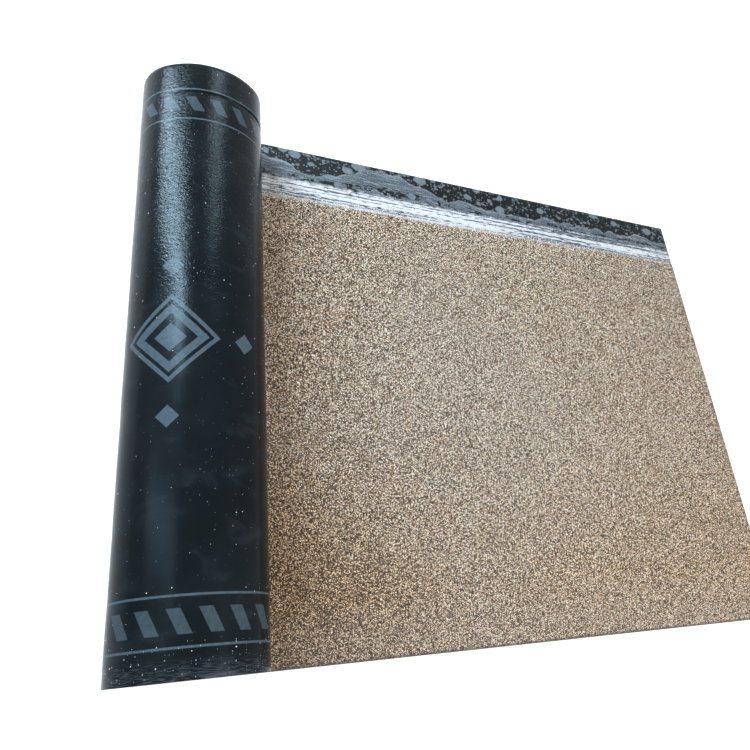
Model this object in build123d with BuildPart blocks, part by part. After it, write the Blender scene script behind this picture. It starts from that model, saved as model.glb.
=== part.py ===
"""A part-used roll of mineral-surfaced roofing felt, lying on its side with its loose end run out flat.

The felt is one continuous sheet. It comes off the underside of the roll, so the torch-film face is on the
outside of the roll and the granule face looks up on the run-out. The roll has no core and has sagged under
its own weight, so every turn is an oval of four tangent arcs instead of a circle. The turns are a true
spiral: each left half of the roll is drawn about one centre, and each right half about a centre half a felt
thickness higher and half a thickness smaller, so the line moves in by one thickness in each full turn.

Frame: X runs along the loose end, away from the roll. Y runs across the felt. Z is up. The origin is on the
floor under the middle of the roll, halfway across the felt. Lengths are in millimetres.
"""

import os
from math import acos, atan2, degrees, radians, sin

from build123d import *

# The sheet itself.
FELT_WIDTH = 1000.0
FELT_THICKNESS = 4.0
LOOSE_LENGTH = 1223.0

# The wound roll as it lies, a sagged oval that is wider than it is high.
ROLL_SPAN = 214.0
ROLL_HEIGHT = 170.0
SIDE_RADIUS = 74.0
TURNS = 16

# The joint between two turns is open by this much, down to this depth, on both ends of the roll.
TURN_GAP = 0.7
TURN_GAP_DEPTH = 4.0

HALF_SPAN = ROLL_SPAN / 2
HALF_HEIGHT = ROLL_HEIGHT / 2
SIDE_CENTRE = HALF_SPAN - SIDE_RADIUS
# The top and bottom arcs of the oval take the one radius that makes them tangent to its side arcs.
CAP_RADIUS = (HALF_SPAN**2 + HALF_HEIGHT**2 - 2 * HALF_SPAN * SIDE_RADIUS) / (2 * (HALF_HEIGHT - SIDE_RADIUS))
CAP_CENTRE = CAP_RADIUS - HALF_HEIGHT
JOIN_ANGLE = degrees(atan2(CAP_CENTRE, SIDE_CENTRE))
FOOT_ANGLE = -90.0

# The second turn lifts off the run-out along its own foot arc. The nip is closed until it is one turn gap high.
NIP_RADIUS = CAP_RADIUS - FELT_THICKNESS / 2
NIP_ANGLE = degrees(acos(1 - TURN_GAP / NIP_RADIUS))
NIP_LENGTH = NIP_RADIUS * sin(radians(NIP_ANGLE))


def left_half(inset):
    """Draws the left half of a turn, from its foot up to its top, as three tangent arcs."""
    centre = HALF_HEIGHT
    CenterArc((0, centre + CAP_CENTRE), CAP_RADIUS - inset, FOOT_ANGLE, JOIN_ANGLE - 90)
    CenterArc((-SIDE_CENTRE, centre), SIDE_RADIUS - inset, 180 + JOIN_ANGLE, -2 * JOIN_ANGLE)
    CenterArc((0, centre - CAP_CENTRE), CAP_RADIUS - inset, 180 - JOIN_ANGLE, JOIN_ANGLE - 90)


def right_half(inset, foot_angle=FOOT_ANGLE):
    """Draws the right half of a turn, from its top down to a foot that is one felt thickness further in."""
    centre = HALF_HEIGHT + FELT_THICKNESS / 2
    shrink = inset + FELT_THICKNESS / 2
    CenterArc((0, centre - CAP_CENTRE), CAP_RADIUS - shrink, 90, JOIN_ANGLE - 90)
    CenterArc((SIDE_CENTRE, centre), SIDE_RADIUS - shrink, JOIN_ANGLE, -2 * JOIN_ANGLE)
    CenterArc((0, centre + CAP_CENTRE), CAP_RADIUS - shrink, -JOIN_ANGLE, foot_angle + JOIN_ANGLE)


def joint_line(offset):
    """Draws the line between the turns, from the nip in to the sheet's inner end, moved in by an offset."""
    foot = FELT_THICKNESS + offset
    Line((NIP_LENGTH, foot), (0, foot))
    for turn in range(1, TURNS):
        if turn > 1:
            right_half((turn - 1) * FELT_THICKNESS + offset)
        left_half(turn * FELT_THICKNESS + offset)


def top_of(inset):
    """Height of the top of a turn whose outer face lies this far inside the roll's own."""
    return ROLL_HEIGHT - inset


inner_face = TURNS * FELT_THICKNESS
last_joint = (TURNS - 1) * FELT_THICKNESS

with BuildPart() as roofing_felt:
    # Outline of the outer turn and the run-out, seen along the roll.
    with BuildSketch(Plane.XZ):
        with BuildLine():
            Line((LOOSE_LENGTH, 0), (0, 0))
            left_half(0)
            right_half(0, FOOT_ANGLE + NIP_ANGLE)
            Line((NIP_LENGTH, FELT_THICKNESS + TURN_GAP), (NIP_LENGTH, FELT_THICKNESS))
            Line((NIP_LENGTH, FELT_THICKNESS), (LOOSE_LENGTH, FELT_THICKNESS))
            Line((LOOSE_LENGTH, FELT_THICKNESS), (LOOSE_LENGTH, 0))
        make_face()
        # The bore is the innermost face of the spiral, with the sheet's cut inner end as a step at its top.
        with BuildLine():
            left_half(inner_face)
            Line((0, top_of(inner_face)), (0, top_of(last_joint)))
            right_half(last_joint)
        make_face(mode=Mode.SUBTRACT)
    extrude(amount=FELT_WIDTH / 2, both=True)
    # The open joint between the turns, cut into both ends of the roll.
    for end in (-1, 1):
        with BuildSketch(Plane.XZ.offset(end * FELT_WIDTH / 2)):
            with BuildLine():
                joint_line(0)
                Line((0, top_of(last_joint)), (0, top_of(last_joint + TURN_GAP)))
                joint_line(TURN_GAP)
                Line((NIP_LENGTH, FELT_THICKNESS + TURN_GAP), (NIP_LENGTH, FELT_THICKNESS))
            make_face()
        extrude(amount=-end * TURN_GAP_DEPTH, mode=Mode.SUBTRACT)

roofing_felt.part.label = "roofing_felt"

os.makedirs("parts", exist_ok=True)
export_step(roofing_felt.part, "parts/roofing_felt.step")

wound_length = (roofing_felt.part.volume / FELT_WIDTH - LOOSE_LENGTH * FELT_THICKNESS) / FELT_THICKNESS
print(f"felt on the roll {wound_length:.0f} mm, in all {wound_length + LOOSE_LENGTH:.0f} mm")
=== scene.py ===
"""Dresses a part-used roll of mineral-surfaced roofing felt that lies with its loose end run out.

The felt is rebuilt as the thin sheet that it is: an outer length that covers the run-out and the outermost
turn, and the wound turns inside it. Both follow the same oval spiral as the solid. Lengths are in metres, X
runs along the loose end, Y across the felt and Z up.
"""

import logging
import math
from dataclasses import dataclass, field
from enum import Enum
from functools import reduce
from operator import add

import bpy
import numpy as np
from mathutils import Euler, Matrix, Vector


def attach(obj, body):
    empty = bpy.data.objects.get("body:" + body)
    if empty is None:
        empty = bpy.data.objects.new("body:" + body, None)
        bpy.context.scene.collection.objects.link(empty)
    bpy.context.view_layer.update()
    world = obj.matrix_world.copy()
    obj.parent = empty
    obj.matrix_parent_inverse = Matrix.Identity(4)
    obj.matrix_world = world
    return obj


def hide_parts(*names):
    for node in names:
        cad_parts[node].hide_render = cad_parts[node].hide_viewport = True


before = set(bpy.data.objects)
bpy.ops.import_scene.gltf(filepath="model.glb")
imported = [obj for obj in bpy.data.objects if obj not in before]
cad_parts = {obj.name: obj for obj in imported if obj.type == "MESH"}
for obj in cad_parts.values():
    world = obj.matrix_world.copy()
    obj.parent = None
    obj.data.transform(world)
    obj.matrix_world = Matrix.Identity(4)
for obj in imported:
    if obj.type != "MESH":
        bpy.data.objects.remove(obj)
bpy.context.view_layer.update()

LOG = logging.getLogger("roofing_felt")
Colour = tuple[float, float, float]
PLACE = "felt_place"


@dataclass(frozen=True)
class FeltSizes:
    """The sizes of the felt that its shape and its finishes share."""

    half_width: float = 0.5
    thickness: float = 0.004
    run_out: float = 1.223


SIZES = FeltSizes()


class Skin(Enum):
    """The faces of the felt, in the order of a piece's material slots."""

    FILM = 0
    UPPER = 1
    CUT = 2


class Side(Enum):
    """The two halves of a turn, seen along the roll with the run-out on the right."""

    LEFT = -1
    RIGHT = 1


@dataclass(frozen=True)
class Arc:
    """One arc of the oval, in the XZ plane, with angles in degrees."""

    centre_x: float
    centre_z: float
    radius: float
    start: float
    sweep: float

    def points(self, step: float) -> np.ndarray:
        """Samples the arc.

        Args:
            step: The largest distance between two samples.

        Returns:
            Rows of x, z and the direction towards the middle of the roll as x, z. The last point is left
            out, because the next arc starts with it.
        """
        count = max(2, math.ceil(self.radius * math.radians(abs(self.sweep)) / step))
        angle = np.radians(self.start + self.sweep * np.arange(count) / count)
        out = np.c_[np.cos(angle), np.sin(angle)]
        return np.c_[self.centre_x + self.radius * out[:, 0], self.centre_z + self.radius * out[:, 1], -out]


@dataclass
class OvalSpiral:
    """The line that the film face of the felt follows, from its loose end in to its inner end."""

    span: float = 0.214
    height: float = 0.170
    side_radius: float = 0.074
    thickness: float = SIZES.thickness
    loose_length: float = SIZES.run_out
    turns: int = 16

    def cap_radius(self) -> float:
        """Works out the top and bottom arcs, which are tangent to the side arcs.

        Returns:
            Their radius.
        """
        half_span, half_height = self.span / 2, self.height / 2
        rise = half_span**2 + half_height**2 - 2 * half_span * self.side_radius
        return rise / (2 * (half_height - self.side_radius))

    def half_turn(self, side: Side, inset: float, step: float) -> np.ndarray:
        """Samples one half of a turn, the left one upwards and the right one downwards.

        Args:
            side: Which half of the roll.
            inset: How far the half lies inside the roll's own outline.
            step: The largest distance between two samples.

        Returns:
            Rows as in Arc.points.
        """
        cap = self.cap_radius()
        rise = cap - self.height / 2
        reach = self.span / 2 - self.side_radius
        join = math.degrees(math.atan2(rise, reach))
        shift = self.thickness / 2 if side is Side.RIGHT else 0.0
        middle, inset = self.height / 2 + shift, inset + shift
        foot = (0.0, middle + rise, cap - inset)
        top = (0.0, middle - rise, cap - inset)
        flank = (side.value * reach, middle, self.side_radius - inset)
        cap_sweep, flank_sweep = join - 90, -2 * join
        if side is Side.LEFT:
            arcs = [Arc(*foot, -90, cap_sweep), Arc(*flank, 180 + join, flank_sweep),
                    Arc(*top, 180 - join, cap_sweep)]
        else:
            arcs = [Arc(*top, 90, cap_sweep), Arc(*flank, join, flank_sweep), Arc(*foot, -join, cap_sweep)]
        return np.vstack([arc.points(step) for arc in arcs])

    def run_out(self, step: float) -> np.ndarray:
        """Samples the flat loose end, from its cut end to the foot of the roll.

        Args:
            step: The largest distance between two samples.

        Returns:
            Rows as in Arc.points.
        """
        count = math.ceil(self.loose_length / step)
        x = self.loose_length * (1 - np.arange(count) / count)
        flat = np.zeros(count)
        return np.c_[x, flat, flat, flat + 1]

    def outer_line(self, flat_step: float, turn_step: float) -> np.ndarray:
        """Samples the run-out and the outermost turn, down to its foot under the roll.

        Args:
            flat_step: The largest distance between two samples of the run-out.
            turn_step: The same for the turn.

        Returns:
            Rows as in Arc.points.
        """
        left = self.half_turn(Side.LEFT, 0.0, turn_step)
        right = self.half_turn(Side.RIGHT, 0.0, turn_step)
        foot = np.array([[0.0, self.thickness, 0.0, 1.0]])
        return np.vstack([self.run_out(flat_step), left, right, foot])

    def inner_line(self, step: float) -> np.ndarray:
        """Samples the turns inside the outermost one, to the sheet's inner end at the top of the bore.

        Args:
            step: The largest distance between two samples.

        Returns:
            Rows as in Arc.points.
        """
        halves = []
        for turn in range(1, self.turns):
            halves.append(self.half_turn(Side.LEFT, turn * self.thickness, step))
            if turn < self.turns - 1:
                halves.append(self.half_turn(Side.RIGHT, turn * self.thickness, step))
        end = np.array([[0.0, self.height - (self.turns - 1) * self.thickness, 0.0, -1.0]])
        return np.vstack([*halves, end])


@dataclass(frozen=True)
class Lap:
    """The plain strip along the far edge of the upper face, which narrows a little towards the loose end."""

    width: float = 0.125
    taper: float = 0.013
    full_from: float = 1.073


@dataclass
class Waves:
    """A smooth random field over the felt, as a sum of plane waves."""

    seed: int
    shortest: float
    longest: float
    count: int = 24
    stretch: float = 1.0

    def at(self, along: np.ndarray, across: np.ndarray) -> np.ndarray:
        """Heights of the field.

        Args:
            along: Distances along the felt.
            across: Places across it, of the same shape.

        Returns:
            Values of about -1 to 1.
        """
        random = np.random.default_rng(self.seed)
        total = np.zeros(np.broadcast(along, across).shape)
        for _ in range(self.count):
            turn = random.uniform(0, 2 * math.pi)
            length = math.exp(random.uniform(math.log(self.shortest), math.log(self.longest)))
            wave = 2 * math.pi / length
            phase = random.uniform(0, 2 * math.pi)
            total += np.sin(wave * (math.cos(turn) * along / self.stretch + math.sin(turn) * across) + phase)
        return np.clip(total / math.sqrt(2.0 * self.count), -1, 1)


@dataclass
class FeltPiece:
    """A length of the sheet, as one closed mesh with a film face, an upper face and cut edges."""

    name: str
    line: np.ndarray
    film_places: np.ndarray
    upper_places: np.ndarray
    start: float = 0.0
    half_width: float = SIZES.half_width
    thickness: float = SIZES.thickness
    edge_levels: tuple[float, ...] = (0.12, 0.5, 0.88)

    def distances(self) -> np.ndarray:
        """Distance of each sample from the loose end of the felt."""
        steps = np.linalg.norm(np.diff(self.line[:, :2], axis=0), axis=1)
        return self.start + np.r_[0.0, np.cumsum(steps)]

    def film_depth(self, along: np.ndarray, across: np.ndarray) -> np.ndarray:
        """How far the film face lies below its nominal line."""
        return np.zeros(np.broadcast(along, across).shape)

    def upper_depth(self, along: np.ndarray, across: np.ndarray) -> np.ndarray:
        """Depth of the upper face below the film face's line."""
        return np.full(np.broadcast(along, across).shape, self.thickness)

    def side_slip(self, along: np.ndarray) -> np.ndarray:
        """How far the whole width is shifted across, at each place along the felt."""
        return np.zeros_like(along)

    def build(self, materials: list[bpy.types.Material]) -> bpy.types.Object:
        """Makes the mesh and dresses it.

        Args:
            materials: The finishes, in the order of Skin.

        Returns:
            The finished piece.
        """
        along = self.distances()[:, None]
        film, upper = self.film_places[None, :], self.upper_places[None, ::-1]
        film_depth = self.film_depth(along, film)
        upper_depth = self.upper_depth(along, upper)
        levels = np.array(self.edge_levels)[None, :]
        span = [(upper_depth[:, :1], film_depth[:, -1:]), (upper_depth[:, -1:], film_depth[:, :1])]
        far_edge = span[0][1] + levels * (span[0][0] - span[0][1])
        near_edge = span[1][1] + levels[:, ::-1] * (span[1][0] - span[1][1])
        rows = len(along)
        depth = np.hstack([film_depth, far_edge, upper_depth, near_edge])
        across = np.hstack([film, np.full((1, levels.size), self.half_width),
                            upper, np.full((1, levels.size), -self.half_width)])
        across = np.repeat(across, rows, axis=0) + self.side_slip(along)
        share = np.hstack([np.zeros_like(film), levels, np.ones_like(upper), levels[:, ::-1]])
        x = self.line[:, :1] + self.line[:, 2:3] * depth
        z = self.line[:, 1:2] + self.line[:, 3:4] * depth
        points = np.stack([x, across, z], axis=-1).reshape(-1, 3)
        place = np.stack([np.repeat(along, depth.shape[1], axis=1), across,
                          np.repeat(share, rows, axis=0)], axis=-1).reshape(-1, 3)
        skins = [Skin.FILM] * (film.size - 1) + [Skin.CUT] * (levels.size + 1)
        skins += [Skin.UPPER] * (upper.size - 1) + [Skin.CUT] * (levels.size + 1)
        return self.mesh(points, place, rows, [skin.value for skin in skins], materials)

    def mesh(self, points: np.ndarray, place: np.ndarray, rows: int, skins: list[int],
             materials: list[bpy.types.Material]) -> bpy.types.Object:
        """Joins the rings of points into a closed mesh, with one face on each cut end.

        Args:
            points: All points, ring after ring.
            place: Distance along, place across and share of the thickness, for each point.
            rows: The number of rings.
            skins: The material slot of each strip between two neighbours of a ring.
            materials: The finishes, in the order of Skin.

        Returns:
            The piece as an object.
        """
        ring = len(skins)
        index = np.arange(rows * ring).reshape(rows, ring)
        beside = np.roll(index, -1, axis=1)
        walls = np.stack([index[:-1], beside[:-1], beside[1:], index[1:]], axis=-1).reshape(-1, 4)
        faces = [tuple(face) for face in walls.tolist()]
        ends = [tuple(index[0, ::-1].tolist()), tuple(index[-1].tolist())]
        faces += ends
        mesh = bpy.data.meshes.new(self.name)
        mesh.from_pydata(points.tolist(), [], faces)
        slots = np.r_[np.tile(skins, rows - 1), np.full(len(ends), Skin.CUT.value)]
        mesh.polygons.foreach_set("material_index", slots.astype(np.int32))
        mesh.polygons.foreach_set("use_smooth", slots != Skin.CUT.value)
        mesh.attributes.new(PLACE, "FLOAT_VECTOR", "POINT").data.foreach_set("vector", place.ravel())
        for material in materials:
            mesh.materials.append(material)
        mesh.validate()
        mesh.update()
        piece = bpy.data.objects.new(self.name, mesh)
        bpy.context.scene.collection.objects.link(piece)
        return piece


@dataclass
class OuterSheet(FeltPiece):
    """The run-out and the outermost turn."""

    roll_start: float = SIZES.run_out
    relief_start: float = 0.03
    relief_fade: float = 0.06
    granule_depth: float = 0.0008
    granule_relief: float = 0.00025
    lap: Lap = Lap()
    lap_raggedness: float = 0.0025
    lap_step_width: float = 0.0012
    turn_clearance: float = 0.0004
    clear_before_roll: float = 0.02
    crease_place: float = 0.4335
    crease_wander: float = 0.0012
    crease_depth: float = 0.0026
    crease_width: float = 0.0020
    crease_start: float = 0.235
    crease_end: float = 0.54
    dent_depth: float = 0.0005

    def on_roll(self, along: np.ndarray) -> np.ndarray:
        """Share of the roll's own relief, which fades in above the foot of the roll."""
        return np.clip((along - self.roll_start - self.relief_start) / self.relief_fade, 0, 1)

    def film_depth(self, along: np.ndarray, across: np.ndarray) -> np.ndarray:
        """Gives the roll soft dents all over and a sharp crease near its far end.

        Args:
            along: Distances along the felt.
            across: Places across it.

        Returns:
            How far the film face lies below its nominal line.
        """
        dents = 0.5 + 0.5 * Waves(3, 0.05, 0.26).at(along, across)
        path = self.crease_place + self.crease_wander * Waves(5, 0.12, 0.4).at(along, across * 0)
        groove = np.exp(-(((across - path) / self.crease_width) ** 2))
        from_foot = along - self.roll_start
        rise = np.clip((from_foot - self.crease_start) / 0.03, 0, 1)
        fall = np.clip((self.crease_end - from_foot) / 0.04, 0, 1)
        return self.on_roll(along) * (self.dent_depth * dents + self.crease_depth * groove * rise * fall)

    def upper_depth(self, along: np.ndarray, across: np.ndarray) -> np.ndarray:
        """Sets the granules proud of the plain lap, with a ragged edge between them.

        Args:
            along: Distances along the felt.
            across: Places across it.

        Returns:
            Depth of the upper face below the film face's line, with a gap to the next turn on the roll.
        """
        width = self.lap.width - self.lap.taper * np.clip(self.lap.full_from - along, 0, 1)
        edge = self.half_width - width + self.lap_raggedness * Waves(9, 0.015, 0.09).at(along, across)
        covered = 1 / (1 + np.exp((across - edge) / self.lap_step_width))
        rough = self.granule_relief * (0.5 + 0.5 * Waves(11, 0.013, 0.05, 40).at(along, across))
        flat = self.thickness - self.granule_depth * (1 - covered) - rough
        wound = np.minimum(flat, self.thickness - self.turn_clearance)
        return np.where(along < self.roll_start - self.clear_before_roll, flat, wound)


@dataclass
class WoundTurns(FeltPiece):
    """The turns inside the outermost one, which have slipped a little past each other."""

    turn_gap: float = 0.00045
    gap_change: float = 0.0002
    slip: float = 0.0016

    def upper_depth(self, along: np.ndarray, across: np.ndarray) -> np.ndarray:
        """The granule face, which leaves a dark gap to the next turn."""
        nip = self.gap_change * Waves(21, 0.05, 0.3).at(along, across * 0)
        return self.thickness - self.turn_gap + nip + 0 * across

    def side_slip(self, along: np.ndarray) -> np.ndarray:
        """Turns wander to and fro along the roll, most of it from turn to turn."""
        return self.slip * (0.75 * Waves(23, 0.35, 1.3, 10).at(along, along * 0)
                            + 0.25 * Waves(25, 0.02, 0.09, 20).at(along, along * 0))


@dataclass
class LooseGrains:
    """Stray mineral grains and flecks of talc that cling to the film of the roll.

    Each band is the chance that a grain lies in it or in one before it, and its two sides across the felt.
    """

    name: str = "loose_grains"
    count: int = 1050
    smallest: float = 0.0004
    largest: float = 0.0013
    seed: int = 41
    from_foot: float = 0.05
    seat: float = 0.3
    bands: tuple[tuple[float, float, float], ...] = (
        (0.22, -0.497, -0.455),
        (0.50, 0.02, 0.32),
        (1.00, -0.495, 0.495),
    )
    least_x: float = -0.107
    greatest_z: float = 0.170
    corners: tuple[tuple[float, float, float], ...] = (
        (0, 0, 1), (0.94, 0, 0.33), (-0.47, 0.82, 0.33), (-0.47, -0.82, 0.33),
        (0, 0, -1), (0.47, 0.82, -0.33), (-0.94, 0, -0.33), (0.47, -0.82, -0.33),
    )
    hull: tuple[tuple[int, int, int], ...] = (
        (0, 1, 5), (0, 5, 2), (0, 2, 6), (0, 6, 3), (0, 3, 7), (0, 7, 1),
        (4, 5, 1), (4, 2, 5), (4, 6, 2), (4, 3, 6), (4, 7, 3), (4, 1, 7),
    )

    def stone(self, random: np.random.Generator, centre: np.ndarray, size: float) -> np.ndarray:
        """Shapes one grain.

        Args:
            random: The source of chance.
            centre: The grain's middle.
            size: Its largest radius.

        Returns:
            Its corners, held inside the roll's own outline.
        """
        stone = np.array(self.corners) * random.uniform(0.7, 1.0, (8, 1)) * size
        spin = np.array(Euler(random.uniform(0, 6.28, 3)).to_matrix())
        stone = stone @ spin.T + centre
        stone[:, 2] = np.minimum(stone[:, 2], self.greatest_z)
        stone[:, 0] = np.maximum(stone[:, 0], self.least_x)
        return stone

    def build(self, sheet: OuterSheet, material: bpy.types.Material) -> bpy.types.Object:
        """Sets the grains on the film.

        Args:
            sheet: The piece that they cling to.
            material: Their finish.

        Returns:
            All grains as one piece.
        """
        random = np.random.default_rng(self.seed)
        along = sheet.distances()
        rows = np.flatnonzero(along > sheet.roll_start + self.from_foot)
        points, faces = [], []
        for _ in range(self.count):
            row = int(random.choice(rows))
            chance = random.random()
            low, high = next((low, high) for limit, low, high in self.bands if chance < limit)
            across = random.uniform(low, high)
            size = self.smallest + (self.largest - self.smallest) * random.random() ** 4
            x, z, inward_x, inward_z = sheet.line[row]
            depth = float(sheet.film_depth(along[row:row + 1, None], np.array([[across]]))[0, 0])
            sunk = depth + self.seat * size
            stone = self.stone(random, np.array([x + inward_x * sunk, across, z + inward_z * sunk]), size)
            faces += [tuple(len(points) + corner for corner in face) for face in self.hull]
            points += stone.tolist()
        mesh = bpy.data.meshes.new(self.name)
        mesh.from_pydata(points, [], faces)
        mesh.materials.append(material)
        mesh.validate()
        piece = bpy.data.objects.new(self.name, mesh)
        bpy.context.scene.collection.objects.link(piece)
        return piece


class Field:
    """A value inside a node tree that formulas are written with."""

    def __init__(self, graph: "Graph", socket: bpy.types.NodeSocket) -> None:
        """Wraps an output socket of a graph."""
        self.graph = graph
        self.socket = socket

    def apply(self, operation: str, *others: "Field | float") -> "Field":
        """Feeds this value and others to a Math node, in that order."""
        return self.graph.maths(operation, self, *others)

    def __add__(self, other: "Field | float") -> "Field":
        """Sum."""
        return self.apply("ADD", other)

    def __sub__(self, other: "Field | float") -> "Field":
        """Difference."""
        return self.apply("SUBTRACT", other)

    def __mul__(self, other: "Field | float") -> "Field":
        """Product."""
        return self.apply("MULTIPLY", other)

    def __truediv__(self, other: "Field | float") -> "Field":
        """Quotient."""
        return self.apply("DIVIDE", other)

    def magnitude(self) -> "Field":
        """Value without its sign."""
        return self.apply("ABSOLUTE")

    def clamp(self) -> "Field":
        """Value held between 0 and 1."""
        return self.apply("MINIMUM", 1.0).apply("MAXIMUM", 0.0)

    def inverse(self) -> "Field":
        """One minus the value."""
        return self.graph.maths("SUBTRACT", 1.0, self)

    def ramp(self, low: float, high: float) -> "Field":
        """Makes a smooth step, which falls instead of rising where low is the larger of the two.

        Args:
            low: The value that gives 0.
            high: The value that gives 1.

        Returns:
            The step, from 0 to 1.
        """
        node = self.graph.add("ShaderNodeMapRange", {"Value": self}, interpolation_type="SMOOTHSTEP")
        node.inputs["From Min"].default_value = min(low, high)
        node.inputs["From Max"].default_value = max(low, high)
        node.inputs["To Min"].default_value = 0.0 if low < high else 1.0
        node.inputs["To Max"].default_value = 1.0 if low < high else 0.0
        return Field(self.graph, node.outputs["Result"])


Source = Field | float | Colour | bpy.types.NodeSocket


@dataclass(frozen=True)
class Patches:
    """Soft-edged patches: their number in a metre, the level of noise at their edge, and its softness."""

    per_metre: float
    level: float
    softness: float


@dataclass(frozen=True)
class Flecks:
    """Round flecks: cells in a metre, the largest radius in cells, and the share of cells that hold one."""

    per_metre: float
    size: float
    share: float


@dataclass(frozen=True)
class Streaks:
    """Noise that is drawn out one way: its features in a metre each way, its finer layers and its twist."""

    along: float
    across: float
    detail: float
    twist: float = 0.0


class Graph:
    """A node tree, with short ways to add nodes and wire them."""

    def __init__(self, tree: bpy.types.NodeTree) -> None:
        """Starts with the tree as it is."""
        self.tree = tree

    def add(self, kind: str, inputs: dict[str | int, Source] | None = None,
            **settings: object) -> bpy.types.Node:
        """Adds a node.

        Args:
            kind: Blender's name of the node.
            inputs: Values or sources by the name of the input socket.
            **settings: The node's own settings.

        Returns:
            The new node.
        """
        node = self.tree.nodes.new(kind)
        for name, value in settings.items():
            setattr(node, name, value)
        for name, value in (inputs or {}).items():
            self.feed(node.inputs[name], value)
        return node

    def feed(self, socket: bpy.types.NodeSocket, value: Source) -> None:
        """Links a source to a socket, or sets the socket's own value.

        Args:
            socket: The input socket.
            value: A field or an output socket to link, or a plain value.
        """
        if isinstance(value, Field):
            value = value.socket
        if isinstance(value, bpy.types.NodeSocket):
            self.tree.links.new(value, socket)
        elif isinstance(value, tuple) and len(value) == 3 and socket.type == "RGBA":
            socket.default_value = (*value, 1.0)
        else:
            socket.default_value = value

    def maths(self, operation: str, *values: "Field | float") -> Field:
        """Adds a Math node.

        Args:
            operation: Blender's name of the operation.
            *values: Its operands, in order.

        Returns:
            The result.
        """
        node = self.add("ShaderNodeMath", operation=operation)
        for socket, value in zip(node.inputs, values):
            self.feed(socket, value)
        return Field(self, node.outputs[0])

    def place(self) -> tuple[Field, Field, Field]:
        """Reads where on the felt a point lies.

        Returns:
            Its distance along the felt, its place across it and its share of the thickness.
        """
        source = self.add("ShaderNodeAttribute", attribute_name=PLACE)
        parts = self.add("ShaderNodeSeparateXYZ", {"Vector": source.outputs["Vector"]})
        return tuple(Field(self, output) for output in parts.outputs)

    def vector(self, x: Field | float, y: Field | float) -> bpy.types.NodeSocket:
        """Joins two values to a vector."""
        return self.add("ShaderNodeCombineXYZ", {"X": x, "Y": y}).outputs["Vector"]

    def solid_place(self) -> bpy.types.NodeSocket:
        """Place in the part's own frame."""
        return self.add("ShaderNodeTexCoord").outputs["Object"]

    def mix(self, share: Field, low: Source, high: Source) -> bpy.types.NodeSocket:
        """Mixes two colours.

        Args:
            share: How much of the second colour.
            low: The first colour, or its source.
            high: The second colour, or its source.

        Returns:
            The mixed colour.
        """
        node = self.add("ShaderNodeMix", data_type="RGBA")
        self.feed(node.inputs["Factor"], share)
        self.feed(node.inputs[6], low)
        self.feed(node.inputs[7], high)
        return node.outputs[2]

    def noise(self, place: Source, scale: Field | float, detail: float = 2.0, twist: float = 0.0) -> Field:
        """Adds plain noise, with its features in a metre, its finer layers and how far it bends itself."""
        inputs = {"Vector": place, "Scale": scale, "Detail": detail, "Distortion": twist}
        return Field(self, self.add("ShaderNodeTexNoise", inputs).outputs["Fac"])

    def cells(self, place: Source, per_metre: Field, randomness: float = 1.0) -> tuple[Field, Field]:
        """Splits a surface or a solid into cells.

        Args:
            place: The place that they are laid out by.
            per_metre: The number of cells in a metre.
            randomness: How far they stray from a grid.

        Returns:
            A random value for each cell, and the distance from its middle.
        """
        inputs = {"Vector": place, "Scale": per_metre, "Randomness": randomness}
        cells = self.add("ShaderNodeTexVoronoi", inputs).outputs
        parts = self.add("ShaderNodeSeparateColor", {"Color": cells["Color"]}).outputs
        return Field(self, parts[0]), Field(self, cells["Distance"])

    def bump(self, height: Field, depth: float,
             under: bpy.types.NodeSocket | None = None) -> bpy.types.NodeSocket:
        """Turns a height into a normal.

        Args:
            height: The height, where 1 is the full depth.
            depth: The relief's depth in metres.
            under: The normal of a coarser relief below it, if any.

        Returns:
            The normal.
        """
        node = self.add("ShaderNodeBump", {"Height": height, "Distance": depth, "Strength": 1.0})
        if under is not None:
            self.feed(node.inputs["Normal"], under)
        return node.outputs["Normal"]

    def palette(self, share: Field, stops: tuple[tuple[float, Colour], ...]) -> bpy.types.NodeSocket:
        """Runs a value through a row of colours.

        Args:
            share: The value, from 0 to 1.
            stops: Places on the row and their colours.

        Returns:
            The colour.
        """
        node = self.add("ShaderNodeValToRGB", {"Fac": share})
        row = node.color_ramp.elements
        while len(row) < len(stops):
            row.new(0.5)
        for element, (position, colour) in zip(row, stops):
            element.position = position
            element.color = (*colour, 1.0)
        return node.outputs["Color"]

    def group(self, tree: bpy.types.NodeTree, inputs: dict[str, Source]) -> bpy.types.Node:
        """Places a shared node group with its own values."""
        return self.add("ShaderNodeGroup", inputs, node_tree=tree)


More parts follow.
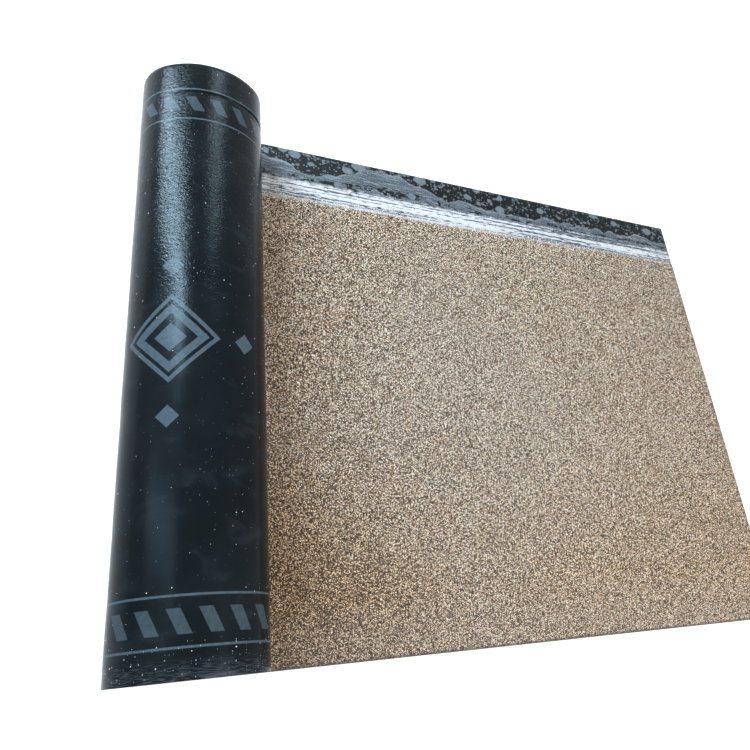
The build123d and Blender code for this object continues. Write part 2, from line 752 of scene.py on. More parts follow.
@dataclass
class SharedEffects:
    """Node groups that more than one finish uses, each built once."""

    stones: bpy.types.NodeTree = field(init=False)
    mottle: bpy.types.NodeTree = field(init=False)
    flecks: bpy.types.NodeTree = field(init=False)

    def __post_init__(self) -> None:
        """Builds the groups."""
        self.stones = self.build_stones()
        self.mottle = self.build_mottle()
        self.flecks = self.build_flecks()

    def blank(self, name: str, inputs: dict[str, float | None],
              outputs: tuple[str, ...]) -> tuple[Graph, dict[str, Field]]:
        """Starts a group.

        Args:
            name: The group's name.
            inputs: Input names with their default values, or None for a vector.
            outputs: Output names, all plain values.

        Returns:
            The group's graph, and its inputs by name.
        """
        tree = bpy.data.node_groups.new(name, "ShaderNodeTree")
        for label, value in inputs.items():
            kind = "NodeSocketVector" if value is None else "NodeSocketFloat"
            socket = tree.interface.new_socket(name=label, in_out="INPUT", socket_type=kind)
            if value is not None:
                socket.default_value = value
        for label in outputs:
            tree.interface.new_socket(name=label, in_out="OUTPUT", socket_type="NodeSocketFloat")
        graph = Graph(tree)
        given = graph.add("NodeGroupInput").outputs
        return graph, {label: Field(graph, given[label]) for label in inputs}

    def build_stones(self) -> bpy.types.NodeTree:
        """Builds closely packed mineral grains, each with a shade and a rounded height.

        Returns:
            The group.
        """
        inputs = {"Vector": None, "Grains per metre": 600.0}
        graph, given = self.blank("packed_grains", inputs, ("Shade", "Height"))
        shade, distance = graph.cells(given["Vector"], given["Grains per metre"], 0.95)
        height = distance.ramp(0.75, 0.05) * (shade * 0.5 + 0.5)
        graph.add("NodeGroupOutput", {"Shade": shade, "Height": height})
        return graph.tree

    def build_mottle(self) -> bpy.types.NodeTree:
        """Builds soft-edged patches.

        Returns:
            The group.
        """
        inputs = {"Vector": None, "Patches per metre": 10.0, "Level": 0.5, "Softness": 0.1}
        graph, given = self.blank("soft_patches", inputs, ("Mask",))
        noise = graph.noise(given["Vector"], given["Patches per metre"], 3.0)
        above = (noise - given["Level"]) / given["Softness"]
        graph.add("NodeGroupOutput", {"Mask": (above * 0.5 + 0.5).clamp()})
        return graph.tree

    def build_flecks(self) -> bpy.types.NodeTree:
        """Builds round flecks of uneven size, thinly spread.

        Returns:
            The group.
        """
        inputs = {"Vector": None, "Flecks per metre": 60.0, "Size": 0.3, "Share": 0.5}
        graph, given = self.blank("spread_flecks", inputs, ("Mask",))
        chance, distance = graph.cells(given["Vector"], given["Flecks per metre"])
        share = given["Share"]
        radius = given["Size"] * ((chance - share.inverse()) / share).clamp()
        edge_sharpness = 12.0
        graph.add("NodeGroupOutput", {"Mask": ((radius - distance) * edge_sharpness).clamp()})
        return graph.tree

    def place_grains(self, graph: Graph, place: Source, per_metre: float) -> tuple[Field, Field]:
        """Places packed grains in a material and gives their shade and height."""
        grains = graph.group(self.stones, {"Vector": place, "Grains per metre": per_metre})
        return Field(graph, grains.outputs["Shade"]), Field(graph, grains.outputs["Height"])

    def place_patches(self, graph: Graph, place: Source, kind: Patches) -> Field:
        """Places soft patches in a material.

        Args:
            graph: The material's graph.
            place: The place that they are laid out by.
            kind: Their sizes.

        Returns:
            Their mask.
        """
        values = {"Vector": place, "Patches per metre": kind.per_metre, "Level": kind.level,
                  "Softness": kind.softness}
        return Field(graph, graph.group(self.mottle, values).outputs["Mask"])

    def place_flecks(self, graph: Graph, place: Source, kind: Flecks) -> Field:
        """Places round flecks in a material and gives their mask."""
        values = {"Vector": place, "Flecks per metre": kind.per_metre, "Size": kind.size, "Share": kind.share}
        return Field(graph, graph.group(self.flecks, values).outputs["Mask"])


def new_material(name: str) -> tuple[bpy.types.Material, Graph, bpy.types.Node]:
    """Starts a material.

    Args:
        name: The finish's name.

    Returns:
        The material, its graph, and its Principled BSDF node.
    """
    material = bpy.data.materials.new(name)
    material.use_nodes = True
    shader = material.node_tree.nodes["Principled BSDF"]
    return material, Graph(material.node_tree), shader


@dataclass(frozen=True)
class Canvas:
    """What a face of the felt is painted with: a graph, the shared effects and the place along and across."""

    graph: Graph
    effects: SharedEffects
    along: Field
    across: Field

    def flat(self) -> bpy.types.NodeSocket:
        """Place on the felt."""
        return self.graph.vector(self.along, self.across)

    def noise(self, per_metre: float, detail: float = 2.0) -> Field:
        """Plain noise over the felt."""
        return self.graph.noise(self.flat(), per_metre, detail)

    def streaks(self, kind: Streaks) -> Field:
        """Noise that is drawn out one way."""
        place = self.graph.vector(self.along * kind.along, self.across * kind.across)
        return self.graph.noise(place, 1.0, kind.detail, kind.twist)

    def patches(self, kind: Patches) -> Field:
        """Mask of soft patches over the felt."""
        return self.effects.place_patches(self.graph, self.flat(), kind)

    def flecks(self, kind: Flecks) -> Field:
        """Mask of round flecks over the felt."""
        return self.effects.place_flecks(self.graph, self.flat(), kind)


@dataclass(frozen=True)
class FilmPrint:
    """The plain print on the film: pairs of stripes with slanted bars between them, and nested diamonds.

    A pair of sizes is where an edge starts to fade in and where it is full, as shares of the bars' pitch or
    of the diamond. A ring is its middle and such a pair. A pip's offset is along the felt and across it.
    """

    stripe_places: tuple[float, ...] = (-0.462, -0.401, 0.3735, 0.4405)
    stripe_width: float = 0.0030
    stripe_blur: float = 0.0003
    band_places: tuple[float, ...] = (-0.4315, 0.4070)
    bar_pitch: float = 0.040
    bar_slant: float = 0.5
    bar_half_width: tuple[float, float] = (0.23, 0.215)
    bar_half_length: tuple[float, float] = (0.0158, 0.0152)
    bar_ink: float = 0.66
    diamond_place: tuple[float, float] = (1.475, -0.040)
    diamond_pitch: float = 0.400
    diamond_size: float = 0.072
    diamond_rings: tuple[tuple[float, float, float], ...] = ((0.94, 0.065, 0.055), (0.66, 0.12, 0.11))
    diamond_heart: tuple[float, float] = (0.33, 0.32)
    pip_offsets: tuple[tuple[float, float], ...] = ((0.0, 0.122), (0.0, -0.122), (0.112, 0.0))
    pip_size: float = 0.017
    pip_blur: float = 0.0008

    def stripes(self, felt: Canvas) -> Field:
        """Draws thin lines that run round the roll.

        Args:
            felt: The film.

        Returns:
            Where ink lies.
        """
        half, blur = self.stripe_width / 2, self.stripe_blur
        return reduce(add, [(felt.across - place).magnitude().ramp(half + blur, half - blur)
                            for place in self.stripe_places])

    def bars(self, felt: Canvas) -> Field:
        """Draws a row of slanted bars in the middle of each band.

        Args:
            felt: The film.

        Returns:
            Where ink lies.
        """
        rows = []
        for place in self.band_places:
            offset = felt.across - place
            phase = ((felt.along + offset * self.bar_slant) / self.bar_pitch).apply("FRACT") - 0.5
            rows.append(phase.magnitude().ramp(*self.bar_half_width)
                        * offset.magnitude().ramp(*self.bar_half_length))
        return reduce(add, rows) * self.bar_ink

    def reach(self, felt: Canvas, step: float = 0.0, aside: float = 0.0) -> Field:
        """Measures how far a point is from the middle of the nearest diamond.

        Args:
            felt: The film.
            step: How far the diamond is moved along the felt.
            aside: How far it is moved across.

        Returns:
            The distance, added up along and across, which is the same all round a diamond.
        """
        centre_along, centre_across = self.diamond_place
        fold = ((felt.along - (centre_along + step)) / self.diamond_pitch + 0.5).apply("FRACT") - 0.5
        return (fold * self.diamond_pitch).magnitude() + (felt.across - (centre_across + aside)).magnitude()

    def diamonds(self, felt: Canvas) -> Field:
        """Draws nested plain diamonds with small ones around them, which repeat along the felt.

        Args:
            felt: The film.

        Returns:
            Where ink lies.
        """
        share = self.reach(felt) / self.diamond_size
        rings = [(share - middle).magnitude().ramp(outer, inner)
                 for middle, outer, inner in self.diamond_rings]
        pips = [self.reach(felt, *offset).ramp(self.pip_size, self.pip_size - self.pip_blur)
                for offset in self.pip_offsets]
        return reduce(add, [*rings, share.ramp(*self.diamond_heart), *pips])

    def mask(self, felt: Canvas) -> Field:
        """Where ink lies, and how thickly, from 0 to 1."""
        return (self.stripes(felt) + self.bars(felt) + self.diamonds(felt)).clamp()


@dataclass(frozen=True)
class FilmFinish:
    """The torch film on the outside of the roll: glossy plastic over bitumen, rippled on its far half."""

    pattern: FilmPrint = FilmPrint()
    black: Colour = (0.0018, 0.0032, 0.0040)
    worn: Colour = (0.0070, 0.0105, 0.0125)
    worn_patches: Patches = Patches(9.0, 0.52, 0.16)
    worn_share: float = 0.55
    sheen: Colour = (0.78, 0.92, 1.0)
    reflectance: float = 0.100
    ink: Colour = (0.056, 0.080, 0.094)
    ink_wear: Patches = Patches(160.0, 0.40, 0.22)
    ink_loss: float = 0.35
    talc: Colour = (0.22, 0.26, 0.30)
    scuffed_rim: tuple[float, float] = (0.032, 0.002)
    scuffs: Streaks = Streaks(70.0, 900.0, 3.0)
    scuff_level: tuple[float, float] = (0.46, 0.66)
    scuff_share: float = 0.20
    flecks: Flecks = Flecks(210.0, 0.34, 0.22)
    fleck_share: float = 0.05
    rim_fleck_share: float = 0.30
    smudges: Streaks = Streaks(16.0, 30.0, 6.0, 0.5)
    smudge_level: tuple[float, float] = (0.52, 0.74)
    smudge_share: float = 0.028
    rippled_zone: tuple[float, float] = (-0.15, 0.30)
    roughness: float = 0.09
    roughness_change: float = 0.16
    clouds_per_metre: float = 22.0
    calm_roughness: float = 0.05
    dust_roughness: float = 0.4
    ink_roughness: float = 0.06
    ripples: Streaks = Streaks(140.0, 200.0, 2.0, 0.8)
    ripple_depth: float = 0.00060
    calm_ripple_share: float = 0.08
    peel_per_metre: float = 360.0
    peel_depth: float = 0.00036
    calm_peel_share: float = 0.20

    def dust(self, felt: Canvas) -> Field:
        """Lays talc on the film: scuffs and flecks along the near rim, thin flecks and smudges elsewhere.

        Args:
            felt: The film.

        Returns:
            The share of talc.
        """
        rim = (felt.across + SIZES.half_width).magnitude().ramp(*self.scuffed_rim)
        scuffed = felt.streaks(self.scuffs).ramp(*self.scuff_level) * rim * self.scuff_share
        flecked = felt.flecks(self.flecks) * (rim * self.rim_fleck_share + self.fleck_share)
        smudged = felt.streaks(self.smudges).ramp(*self.smudge_level) * self.smudge_share
        return (scuffed + flecked + smudged).clamp()

    def build(self, effects: SharedEffects) -> bpy.types.Material:
        """Makes the finish.

        Args:
            effects: The shared node groups.

        Returns:
            The material.
        """
        material, graph, shader = new_material("torch_film")
        felt = Canvas(graph, effects, *graph.place()[:2])
        colour = graph.mix(felt.patches(self.worn_patches) * self.worn_share, self.black, self.worn)
        wear = felt.patches(self.ink_wear)
        inked = self.pattern.mask(felt) * (wear * self.ink_loss + (1.0 - self.ink_loss))
        dusty = self.dust(felt)
        colour = graph.mix(inked, colour, self.ink)
        graph.feed(shader.inputs["Base Color"], graph.mix(dusty, colour, self.talc))
        rippled = felt.across.ramp(*self.rippled_zone)
        rough = (felt.noise(self.clouds_per_metre, 4.0) * self.roughness_change
                 + rippled.inverse() * self.calm_roughness + self.roughness)
        rough = rough + dusty * self.dust_roughness + inked * self.ink_roughness
        graph.feed(shader.inputs["Roughness"], rough.clamp())
        shader.inputs["Specular IOR Level"].default_value = self.reflectance
        shader.inputs["Specular Tint"].default_value = (*self.sheen, 1.0)
        ripples = felt.streaks(self.ripples)
        ripples = ripples * (rippled * (1.0 - self.calm_ripple_share) + self.calm_ripple_share)
        peel = felt.noise(self.peel_per_metre)
        peel = peel * (rippled * (1.0 - self.calm_peel_share) + self.calm_peel_share)
        coarse = graph.bump(ripples, self.ripple_depth)
        graph.feed(shader.inputs["Normal"], graph.bump(peel, self.peel_depth, under=coarse))
        return material


@dataclass(frozen=True)
class GrainBed:
    """The bed of mineral grains: darker by the roll and towards the near edge, which is painted shade, paler
    where dust lies on it, and paler and lighter around one spot in the middle.
    """

    grains_per_metre: float = 570.0
    clumps_per_metre: float = 300.0
    stone_row: tuple[tuple[float, Colour], ...] = (
        (0.00, (0.026, 0.016, 0.010)),
        (0.16, (0.105, 0.065, 0.037)),
        (0.36, (0.37, 0.222, 0.122)),
        (0.60, (0.67, 0.425, 0.240)),
        (0.84, (0.94, 0.685, 0.455)),
        (1.00, (1.00, 0.90, 0.77)),
    )
    tone: float = 0.650
    tone_spread: float = 1.45
    edge_spread_loss: float = 0.50
    clump_tone: float = 0.08
    roll_zone: float = 0.75
    edge_zone: tuple[float, float] = (0.15, -0.50)
    # Painted shade: the grains are darker by the roll, towards the near edge, and most where the two meet.
    roll_painted_shade: float = 0.11
    edge_painted_shade: float = 0.07
    corner_painted_shade: float = 0.14
    dust: Colour = (0.62, 0.535, 0.46)
    dust_patches: Patches = Patches(3.1, 0.50, 0.30)
    patch_dust: float = 0.08
    # A paler, lighter patch around one spot in the middle of the run-out.
    pale_spot: tuple[float, float] = (0.72, -0.13)
    spot_reach: tuple[float, float] = (0.62, 0.10)
    pale_spot_share: float = 0.26
    spot_tone: float = 0.06
    powder_zone: tuple[float, float] = (-0.39, -0.49)
    powder_dust: float = 0.30
    # Painted shade in the gaps between the grains, where their height is low.
    gap_shade: Colour = (0.036, 0.025, 0.018)
    gap_shade_heights: tuple[float, float] = (0.46, 0.08)
    gap_shade_share: float = 0.94
    bare_edge: Colour = (0.060, 0.062, 0.064)
    fringe: tuple[float, float] = (0.007, 0.0005)
    fringe_wander: float = 0.010
    fringe_share: float = 0.75

    def tones(self, felt: Canvas, shade: Field, clumps: Field) -> Field:
        """Places each grain in the row of stone colours, lowered by the roll and towards the near edge as
        painted shade.

        Args:
            felt: The upper face.
            shade: The grain's own shade.
            clumps: Fine noise around zero.

        Returns:
            The place in the row.
        """
        near_roll = (felt.along - SIZES.run_out).ramp(-self.roll_zone, 0.0)
        near_edge = felt.across.ramp(*self.edge_zone)
        # Painted shade by the roll and towards the near edge.
        painted_shade = (near_roll * (near_edge * self.corner_painted_shade + self.roll_painted_shade)
                + near_edge * self.edge_painted_shade)
        spread = near_edge * -self.edge_spread_loss + self.tone_spread
        return (shade - 0.5) * spread + self.tone + clumps * self.clump_tone - painted_shade

    def look(self, felt: Canvas) -> tuple[bpy.types.NodeSocket, Field, Field]:
        """Colours the grains.

        Args:
            felt: The upper face.

        Returns:
            The colour, and each grain's shade and height.
        """
        graph = felt.graph
        shade, height = felt.effects.place_grains(graph, felt.flat(), self.grains_per_metre)
        clumps = felt.noise(self.clumps_per_metre) - 0.5
        # Paler and lighter around one spot in the middle.
        spot_along, spot_across = self.pale_spot
        away = (felt.along - spot_along).magnitude() + (felt.across - spot_across).magnitude()
        spot = away.ramp(*self.spot_reach)
        tones = self.tones(felt, shade, clumps) + spot * self.spot_tone
        colour = graph.palette(tones.clamp(), self.stone_row)
        patches = felt.patches(self.dust_patches) * self.patch_dust
        powder = felt.across.ramp(*self.powder_zone) * self.powder_dust
        colour = graph.mix(patches + spot * self.pale_spot_share + powder, colour, self.dust)
        fringe = (felt.across + SIZES.half_width + clumps * self.fringe_wander).ramp(*self.fringe)
        # Painted shade between the grains, by their height.
        colour = graph.mix(height.ramp(*self.gap_shade_heights) * self.gap_shade_share, colour, self.gap_shade)
        return graph.mix(fringe * self.fringe_share, colour, self.bare_edge), shade, height


@dataclass(frozen=True)
class LapFace:
    """The plain lap: black bitumen with dried spots, a hazy band with lobes, and white streaks by the grains.

    Places across the lap are given as shares: 0 at the felt's edge and 1 where the grains start. A crest is
    its place along the felt, how far it reaches and how high it is.
    """

    bitumen: Colour = (0.005, 0.0065, 0.0065)
    haze: Colour = (0.066, 0.082, 0.098)
    spot: Colour = (0.150, 0.172, 0.186)
    talc: Colour = (0.505, 0.495, 0.500)
    roughness: float = 0.40
    talc_roughness: float = 0.18
    fine_per_metre: float = 90.0
    grit_per_metre: float = 420.0
    band_start: float = 0.48
    band_edge: tuple[float, float] = (-0.010, 0.012)
    swells_per_metre: float = 5.0
    swell_height: float = 0.26
    crests: tuple[tuple[float, float, float], ...] = (
        (0.83, 0.16, 0.32),
        (1.13, 0.08, 0.26),
        (0.10, 0.10, 0.05),
    )
    lobes: Streaks = Streaks(12.0, 3.0, 1.0)
    lobe_height: float = 0.60
    cracks: Streaks = Streaks(34.0, 120.0, 4.0, 0.6)
    torn_middle: float = 0.585
    torn_level: tuple[float, float] = (0.53, 0.57)
    flow: Streaks = Streaks(20.0, 200.0, 4.0, 1.8)
    lines: Streaks = Streaks(2.4, 165.0, 3.0)
    frays: Streaks = Streaks(60.0, 300.0, 4.0)
    blobs: Flecks = Flecks(40.0, 0.62, 0.72)
    beads: Flecks = Flecks(105.0, 0.52, 0.66)
    dots: Flecks = Flecks(200.0, 0.56, 0.62)
    white_start: tuple[float, float] = (0.58, 0.68)
    white_level: tuple[float, float] = (0.485, 0.555)
    heart_start: tuple[float, float] = (0.64, 0.74)
    heart_end: tuple[float, float] = (0.96, 0.84)
    roll_side: tuple[float, float] = (0.60, 1.10)
    speck_start: tuple[float, float] = (0.60, 0.70)
    speck_level: tuple[float, float] = (0.42, 0.36)
    speck_share: float = 0.7

    def rise(self, felt: Canvas) -> Field:
        """Makes the hazy band swell towards the felt's edge, with a crest at each of its great lobes.

        Args:
            felt: The upper face.

        Returns:
            How far it swells.
        """
        graph, along = felt.graph, felt.along
        swell = graph.noise(graph.vector(along * self.swells_per_metre, 0.35), 1.0, 1.0)
        swell = swell * self.swell_height - self.swell_height / 2
        return reduce(add, [(along - place).magnitude().ramp(reach, 0.01) * height
                            for place, reach, height in self.crests], swell)

    def spots(self, felt: Canvas, fine: Field, grit: Field) -> Field:
        """Draws the round spots of dried talc.

        Args:
            felt: The upper face.
            fine: Noise around zero that bends the spots' outlines.
            grit: Finer noise that breaks up the large ones.

        Returns:
            The share of talc.
        """
        bent = Canvas(felt.graph, felt.effects, felt.along * 0.85 + fine * 0.010,
                      felt.across * 1.1 + fine * 0.006)
        large = bent.flecks(self.blobs) * (grit + 0.25)
        return (large + bent.flecks(self.beads) * 0.60 + felt.flecks(self.dots) * 0.70).clamp()

    def whites(self, felt: Canvas, share: Field, fine: Field, grit: Field, frayed: Field) -> Field:
        """Draws the white streaks.

        Args:
            felt: The upper face.
            share: Place across the lap.
            fine: Noise around zero.
            grit: Finer noise.
            frayed: Noise that is drawn out along the felt.

        Returns:
            The share of talc.
        """
        heart = share.ramp(*self.heart_start) * share.ramp(*self.heart_end)
        nearer = felt.along.ramp(*self.roll_side) * 0.07
        lines = felt.streaks(self.lines) * 0.66
        streaks = lines + frayed * 0.34 + (grit - 0.5) * 0.16 + heart * 0.055 + nearer - 0.02
        return streaks.ramp(*self.white_level) * (share + fine * 0.16).ramp(*self.white_start)

    def look(self, felt: Canvas, share: Field) -> tuple[bpy.types.NodeSocket, Field]:
        """Colours the lap.

        Args:
            felt: The upper face.
            share: Place across the lap.

        Returns:
            The colour, and the roughness.
        """
        graph = felt.graph
        fine = felt.noise(self.fine_per_metre, 3.0) - 0.5
        grit = felt.noise(self.grit_per_metre)
        rise = self.rise(felt)
        lobes = (felt.streaks(self.lobes) - 0.5).magnitude() * self.lobe_height
        depth = share + rise + lobes + fine * 0.06 - self.band_start
        beside = (share - self.torn_middle + fine * 0.10 + rise * 0.25).magnitude()
        torn = (felt.streaks(self.cracks) + rise * 0.30 - beside * 1.6 + grit * 0.10).ramp(*self.torn_level)
        haze = depth.ramp(*self.band_edge) * torn.inverse()
        flow = felt.streaks(self.flow)
        spots = self.spots(felt, fine, grit)
        colour = graph.mix(spots, self.bitumen, self.spot)
        colour = graph.mix((haze * (flow * 1.1 + grit * 0.4 + 0.10)).clamp(), colour, self.haze)
        gleam = flow.ramp(0.52, 0.64) * 0.22 + depth.ramp(0.07, 0.0) * 0.12 + grit.ramp(0.54, 0.66) * 0.26
        colour = graph.mix(haze * gleam, colour, self.talc)
        frayed = felt.streaks(self.frays)
        white = self.whites(felt, share, fine, grit, frayed)
        colour = graph.mix(white, colour, self.talc)
        specks = frayed.ramp(*self.speck_level) * share.ramp(*self.speck_start) * self.speck_share
        rough = (haze + white + spots).clamp() * self.talc_roughness + self.roughness
        return graph.mix(specks, colour, self.bitumen), rough


@dataclass(frozen=True)
class UpperFinish:
    """The upper face of the felt: the bed of mineral grains, and beside it the plain lap with its talc."""

    lap: Lap = Lap()
    bed: GrainBed = GrainBed()
    lap_face: LapFace = LapFace()
    talc_reach: tuple[float, float] = (1.07, 0.99)
    talc_share: float = 0.45
    grain_border: tuple[float, float] = (0.975, 1.005)
    border_raggedness: float = 0.14
    grain_roughness: float = 0.45
    grain_relief: float = 0.0009
    seam_relief: float = 0.0006
    seams_per_metre: float = 120.0
    wobble: Streaks = Streaks(60.0, 60.0, 3.0)
    wobble_height: float = 0.06
    reflectance: float = 0.09

    def lap_share(self, felt: Canvas) -> Field:
        """Measures the place across the plain lap.

        Args:
            felt: The upper face.

        Returns:
            0 at the felt's edge, 1 where the grains start, and above 1 on them.
        """
        width = (felt.along * -1.0 + self.lap.full_from).clamp() * -self.lap.taper + self.lap.width
        wobble = felt.streaks(self.wobble) * self.wobble_height - self.wobble_height / 2
        return (felt.across - SIZES.half_width) * -1.0 / width + wobble

    def build(self, effects: SharedEffects) -> bpy.types.Material:
        """Makes the finish.

        Args:
            effects: The shared node groups.

        Returns:
            The material.
        """
        material, graph, shader = new_material("mineral_face")
        felt = Canvas(graph, effects, *graph.place()[:2])
        share = self.lap_share(felt)
        bed_colour, shade, height = self.bed.look(felt)
        talc = share.ramp(*self.talc_reach) * self.talc_share
        bed_colour = graph.mix(talc, bed_colour, self.lap_face.talc)
        lap_colour, lap_rough = self.lap_face.look(felt, share)
        grained = (share + (shade - 0.5) * self.border_raggedness).ramp(*self.grain_border)
        graph.feed(shader.inputs["Base Color"], graph.mix(grained, lap_colour, bed_colour))
        graph.feed(shader.inputs["Roughness"], (grained * self.grain_roughness + lap_rough).clamp())
        coarse = graph.bump(felt.noise(self.seams_per_metre, 3.0) * grained.inverse(), self.seam_relief)
        graph.feed(shader.inputs["Normal"], graph.bump(height * grained, self.grain_relief, under=coarse))
        shader.inputs["Specular IOR Level"].default_value = self.reflectance
        return material


@dataclass(frozen=True)
class CutFinish:
    """The cut edges and ends: bitumen with a pale carrier in it, grains on one side and dust over all."""

    bitumen: Colour = (0.013, 0.013, 0.014)
    carrier: Colour = (0.16, 0.145, 0.125)
    grain: Colour = (0.34, 0.25, 0.17)
    grains_per_metre: float = 620.0
    dust: Colour = (0.26, 0.26, 0.26)
    dust_patches: Patches = Patches(330.0, 0.57, 0.10)
    dust_share: float = 0.45
    carrier_share: float = 0.52
    carrier_width: float = 0.09
    carrier_patches: Patches = Patches(240.0, 0.42, 0.12)
    frays_per_metre: float = 900.0
    crust_zone: tuple[float, float] = (0.84, 0.88)
    roughness: float = 0.62
    reflectance: float = 0.2
    relief: float = 0.0004
    relief_per_metre: float = 700.0

    def build(self, effects: SharedEffects) -> bpy.types.Material:
        """Makes the finish.

        Args:
            effects: The shared node groups.

        Returns:
            The material.
        """
        material, graph, shader = new_material("cut_edge")
        _, _, share = graph.place()
        place = graph.solid_place()
        fray = graph.noise(place, self.frays_per_metre) - 0.5
        line = (share + fray * 0.10 - self.carrier_share).magnitude()
        fibre = line.ramp(self.carrier_width, self.carrier_width * 0.5)
        broken = effects.place_patches(graph, place, self.carrier_patches)
        colour = graph.mix(fibre * broken * 0.8, self.bitumen, self.carrier)
        shade, _ = effects.place_grains(graph, place, self.grains_per_metre)
        crust = (share + fray * 0.12).ramp(*self.crust_zone)
        colour = graph.mix(crust * shade, colour, self.grain)
        dust = effects.place_patches(graph, place, self.dust_patches)
        graph.feed(shader.inputs["Base Color"], graph.mix(dust * self.dust_share, colour, self.dust))
        shader.inputs["Roughness"].default_value = self.roughness
        shader.inputs["Specular IOR Level"].default_value = self.reflectance
        rough = graph.noise(place, self.relief_per_metre, 3.0)
        graph.feed(shader.inputs["Normal"], graph.bump(rough, self.relief))
        return material


@dataclass(frozen=True)
class GrainFinish:
    """Stray grains: pale stone, some of it almost white."""

    row: tuple[tuple[float, Colour], ...] = (
        (0.0, (0.30, 0.26, 0.21)),
        (0.3, (0.66, 0.65, 0.62)),
        (1.0, (0.93, 0.93, 0.92)),
    )
    roughness: float = 0.55

    def build(self) -> bpy.types.Material:
        """Makes the finish.

        Returns:
            The material.
        """
        material, graph, shader = new_material("stray_grain")
        tone = graph.noise(graph.solid_place(), 35.0, 4.0).ramp(0.30, 0.70)
        graph.feed(shader.inputs["Base Color"], graph.palette(tone, self.row))
        shader.inputs["Roughness"].default_value = self.roughness
        return material


@dataclass(frozen=True)
class Softbox:
    """A plain rectangular light that faces a point."""

    name: str
    place: tuple[float, float, float]
    aim: tuple[float, float, float]
    size: tuple[float, float]
    watts: float
    tint: Colour = (1.0, 1.0, 1.0)

    def build(self) -> None:
        """Adds the light."""
        data = bpy.data.lights.new(self.name, "AREA")
        data.shape = "RECTANGLE"
        data.size, data.size_y = self.size
        data.energy = self.watts
        data.color = self.tint
        lamp = bpy.data.objects.new(self.name, data)
        lamp.location = self.place
        lamp.rotation_euler = (Vector(self.aim) - Vector(self.place)).to_track_quat("-Z", "Y").to_euler()
        bpy.context.scene.collection.objects.link(lamp)


def seen_directly(graph: Graph) -> Field:
    """Finds the rays that show the surround: from the camera, off a gloss or through a clear material.

    Args:
        graph: The graph of the floor or the surround.

    Returns:
        1 for those rays and 0 for all others.
    """
    rays = graph.add("ShaderNodeLightPath").outputs
    direct = Field(graph, rays["Is Camera Ray"])
    return direct.apply("MAXIMUM", rays["Is Glossy Ray"]).apply("MAXIMUM", rays["Is Transmission Ray"])


@dataclass(frozen=True)
class Studio:
    """A pale floor, a white surround and soft lights.

    Two strips of light draw the fading streak along the roll, and two broad ones light the rest.
    """

    lights: tuple[Softbox, ...] = (
        Softbox("streak_light", place=(-1.70, 2.00, 1.90), aim=(0.0, 0.2, 0.1), size=(0.44, 2.2), watts=222.0,
                tint=(0.66, 0.85, 1.0)),
        Softbox("tail_light", place=(-1.62, 0.15, 1.90), aim=(0.0, -0.2, 0.1), size=(0.26, 1.6), watts=13.0,
                tint=(0.56, 0.78, 1.0)),
        Softbox("key_light", place=(2.0, -1.9, 2.8), aim=(0.6, 0.05, 0.0), size=(2.4, 2.4), watts=152.0,
                tint=(1.0, 0.98, 0.95)),
        Softbox("sky_light", place=(0.75, 2.5, 2.3), aim=(0.1, 0.2, 0.1), size=(0.6, 1.0), watts=30.0,
                tint=(0.75, 0.9, 1.0)),
    )
    floor_size: float = 30.0
    floor_drop: float = 0.0003
    floor_colour: Colour = (0.42, 0.42, 0.42)
    floor_roughness: float = 0.9
    floor_lift: float = 0.74
    fade_from: float = 1.8
    fade_to: float = 4.5
    world_level: float = 0.16
    world_tint: Colour = (0.86, 0.94, 1.0)

    def build_world(self) -> None:
        """White where it is seen directly or mirrored, and a dim even sky for the light on the felt."""
        world = bpy.data.worlds.new("surround")
        bpy.context.scene.world = world
        world.use_nodes = True
        graph = Graph(world.node_tree)
        graph.tree.nodes.clear()
        sky = graph.add("ShaderNodeBackground", {"Color": self.world_tint, "Strength": self.world_level})
        white = graph.add("ShaderNodeBackground", {"Color": (1.0, 1.0, 1.0), "Strength": 1.0})
        choice = graph.add("ShaderNodeMixShader", {"Fac": seen_directly(graph)})
        graph.feed(choice.inputs[1], sky.outputs[0])
        graph.feed(choice.inputs[2], white.outputs[0])
        graph.add("ShaderNodeOutputWorld", {"Surface": choice.outputs[0]})

    def build_floor(self) -> bpy.types.Object:
        """Builds the floor, lifted towards white where it is seen directly, and to full white far away.

        Returns:
            The floor.
        """
        material, graph, shader = new_material("pale_floor")
        shader.inputs["Base Color"].default_value = (*self.floor_colour, 1.0)
        shader.inputs["Roughness"].default_value = self.floor_roughness
        shader.inputs["Specular IOR Level"].default_value = 0.0
        shader.inputs["Emission Color"].default_value = (1.0, 1.0, 1.0, 1.0)
        length = graph.add("ShaderNodeVectorMath", {0: graph.solid_place()}, operation="LENGTH")
        away = Field(graph, length.outputs["Value"])
        lift = away.ramp(self.fade_from, self.fade_to) * (1.0 - self.floor_lift) + self.floor_lift
        graph.feed(shader.inputs["Emission Strength"], seen_directly(graph) * lift)
        reach = self.floor_size / 2
        mesh = bpy.data.meshes.new("studio_floor")
        corners = [(-reach, -reach), (reach, -reach), (reach, reach), (-reach, reach)]
        mesh.from_pydata([(x, y, -self.floor_drop) for x, y in corners], [], [(0, 1, 2, 3)])
        mesh.materials.append(material)
        floor = bpy.data.objects.new("studio_floor", mesh)
        bpy.context.scene.collection.objects.link(floor)
        return floor

    def build(self) -> None:
        """Sets the studio up."""
        self.build_world()
        self.build_floor()
        for light in self.lights:
            light.build()
        bpy.context.scene.view_settings.view_transform = "Standard"


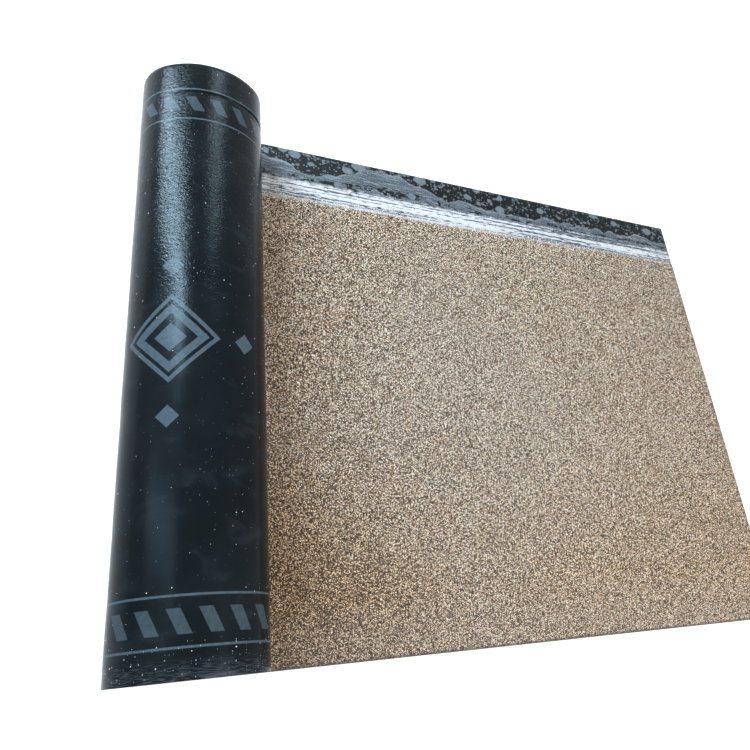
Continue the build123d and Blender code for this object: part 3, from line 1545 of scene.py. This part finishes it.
@dataclass(frozen=True)
class ViewingCamera:
    """The camera, above the near end of the roll. Its frame is taken to be square."""

    place: tuple[float, float, float] = (-0.14056, -0.50132, 1.09700)
    right: tuple[float, float, float] = (0.907884, -0.099792, 0.407170)
    down: tuple[float, float, float] = (0.079326, -0.912815, -0.400595)
    focal_share: float = 679.466 / 750
    shift: tuple[float, float] = (-0.04309, -0.01565)
    sensor: float = 36.0

    def build(self) -> None:
        """Adds the camera and makes it the scene's own."""
        data = bpy.data.cameras.new("viewing_camera")
        data.sensor_width = self.sensor
        data.lens = self.sensor * self.focal_share
        data.shift_x, data.shift_y = self.shift
        data.clip_start = 0.05
        camera = bpy.data.objects.new("viewing_camera", data)
        right, up = Vector(self.right).normalized(), -Vector(self.down).normalized()
        back = right.cross(up).normalized()
        turn = np.array([right, back.cross(right), back]).T
        camera.matrix_world = Matrix([[*turn[row], self.place[row]] for row in range(3)] + [[0, 0, 0, 1]])
        bpy.context.scene.collection.objects.link(camera)
        bpy.context.scene.camera = camera


@dataclass
class FeltRoll:
    """The whole object: the outer sheet, the wound turns and the stray grains."""

    spiral: OvalSpiral = field(default_factory=OvalSpiral)
    edge_round: float = 0.0005
    wound_half_width: float = 0.497
    wound_places: tuple[float, ...] = (-0.4965, -0.49, -0.3, 0.0, 0.3, 0.49, 0.4965)
    flat_step: float = 0.0065
    turn_step: float = 0.0052
    wound_step: float = 0.006
    columns: int = 144
    crease_offsets: tuple[float, ...] = (-0.006, -0.004, -0.0025, -0.0012, 0.0, 0.0012, 0.0025, 0.004, 0.006)
    least_column: float = 0.002

    def upper_places(self) -> np.ndarray:
        """Places of the mesh lines across the upper face, from the near edge to the far edge."""
        reach = SIZES.half_width - self.edge_round
        return np.linspace(-reach, reach, self.columns)

    def film_places(self, crease: float) -> np.ndarray:
        """Gives the film face the same mesh lines as the upper face, with closer ones at the crease.

        Args:
            crease: Where the crease lies across the felt.

        Returns:
            The places, from the near edge to the far edge.
        """
        places = self.upper_places()
        apart = np.abs(places - crease) > self.crease_offsets[-1] + self.least_column
        return np.sort(np.r_[places[apart], crease + np.array(self.crease_offsets)])

    def build(self, effects: SharedEffects) -> list[bpy.types.Object]:
        """Builds and dresses all pieces.

        Args:
            effects: The shared node groups.

        Returns:
            The pieces.
        """
        skins = [FilmFinish().build(effects), UpperFinish().build(effects), CutFinish().build(effects)]
        outer = OuterSheet("outer_sheet", self.spiral.outer_line(self.flat_step, self.turn_step),
                           self.film_places(OuterSheet.crease_place), self.upper_places())
        places = np.array(self.wound_places)
        wound = WoundTurns("wound_turns", self.spiral.inner_line(self.wound_step), places, places,
                           start=float(outer.distances()[-1]), half_width=self.wound_half_width)
        pieces = [outer.build(skins), wound.build(skins), LooseGrains().build(outer, GrainFinish().build())]
        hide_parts("roofing_felt")
        for piece in pieces:
            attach(piece, "root")
            LOG.info("%s: %d faces", piece.name, len(piece.data.polygons))
        return pieces


def main() -> None:
    """Builds the object, the studio and the camera, in that order."""
    logging.basicConfig(level=logging.INFO, format="%(name)s: %(message)s")
    FeltRoll().build(SharedEffects())
    Studio().build()
    ViewingCamera().build()
    bpy.context.view_layer.update()


if __name__ == "__main__":
    main()
